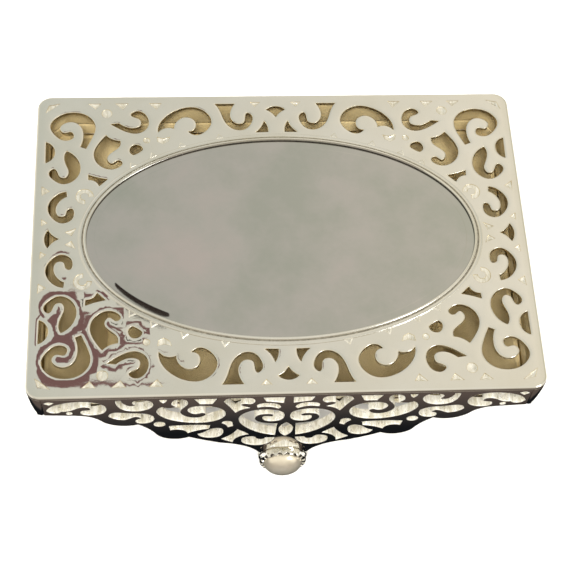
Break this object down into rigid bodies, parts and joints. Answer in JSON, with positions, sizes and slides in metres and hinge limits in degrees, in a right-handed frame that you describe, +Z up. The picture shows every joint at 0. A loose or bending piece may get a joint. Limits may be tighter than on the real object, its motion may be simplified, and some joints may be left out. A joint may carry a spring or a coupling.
{
  "type": "vanity trinket box",
  "caption": "Tapered silver-plated trinket box with a hinged, pierced lid that carries an oval bevelled mirror, a pierced front apron and a pearl knob; velvet lined.",
  "frame": {"origin": "centre of the underside of the felt that the box rests on", "axes": "+X along the box's length, +Y from its front to its hinges, +Z up"},
  "size_m": [0.1524, 0.1165, 0.0608],
  "materials": {
    "silver_plate": "polished silver plate over cast zinc alloy",
    "bezel_silver": "polished silver plate",
    "hinge_metal": "silver-plated steel",
    "fastener_steel": "plain steel",
    "mirror_glass": "bevelled silvered glass",
    "fibreboard": "plain brown fibreboard",
    "velvet": "tan short-pile velvet",
    "felt": "brown pressed felt",
    "pearl": "pearlescent imitation pearl"
  },
  "bodies": {
    "box": {"base_plate": "silver_plate", "base_felt": "felt", "base_screws": "fastener_steel", "corner_lugs": "silver_plate", "front_wall": "silver_plate", "back_wall": "silver_plate", "left_wall": "silver_plate", "right_wall": "silver_plate", "top_rim": "silver_plate", "rim_lining": "velvet", "floor_board": "fibreboard", "floor_pad": "velvet", "front_liner": "velvet", "back_liner": "velvet", "left_liner": "velvet", "right_liner": "velvet", "hinge_box_leaf_left": "hinge_metal", "hinge_box_leaf_right": "hinge_metal", "hinge_pin_left": "hinge_metal", "hinge_pin_right": "hinge_metal", "hinge_box_rivets": "hinge_metal"},
    "lid": {"lid_plate": "silver_plate", "lid_skirt": "silver_plate", "lid_lining": "velvet", "front_apron": "silver_plate", "mirror_bezel": "bezel_silver", "mirror_glass": "mirror_glass", "mirror_backing": "fibreboard", "mirror_clips": "fastener_steel", "knob_cup": "bezel_silver", "knob_pearl": "pearl", "knob_stud": "fastener_steel", "knob_washer": "fastener_steel", "knob_nut": "fastener_steel", "hinge_lid_leaf_left": "hinge_metal", "hinge_lid_leaf_right": "hinge_metal", "hinge_lid_rivets": "hinge_metal"}
  },
  "joints": [
    {"name": "lid_hinge", "type": "hinge", "parent": "box", "child": "lid", "pos_m": [0, 0.05375, 0.048], "axis": [-1, 0, 0], "range_deg": [0, 100]}
  ]
}
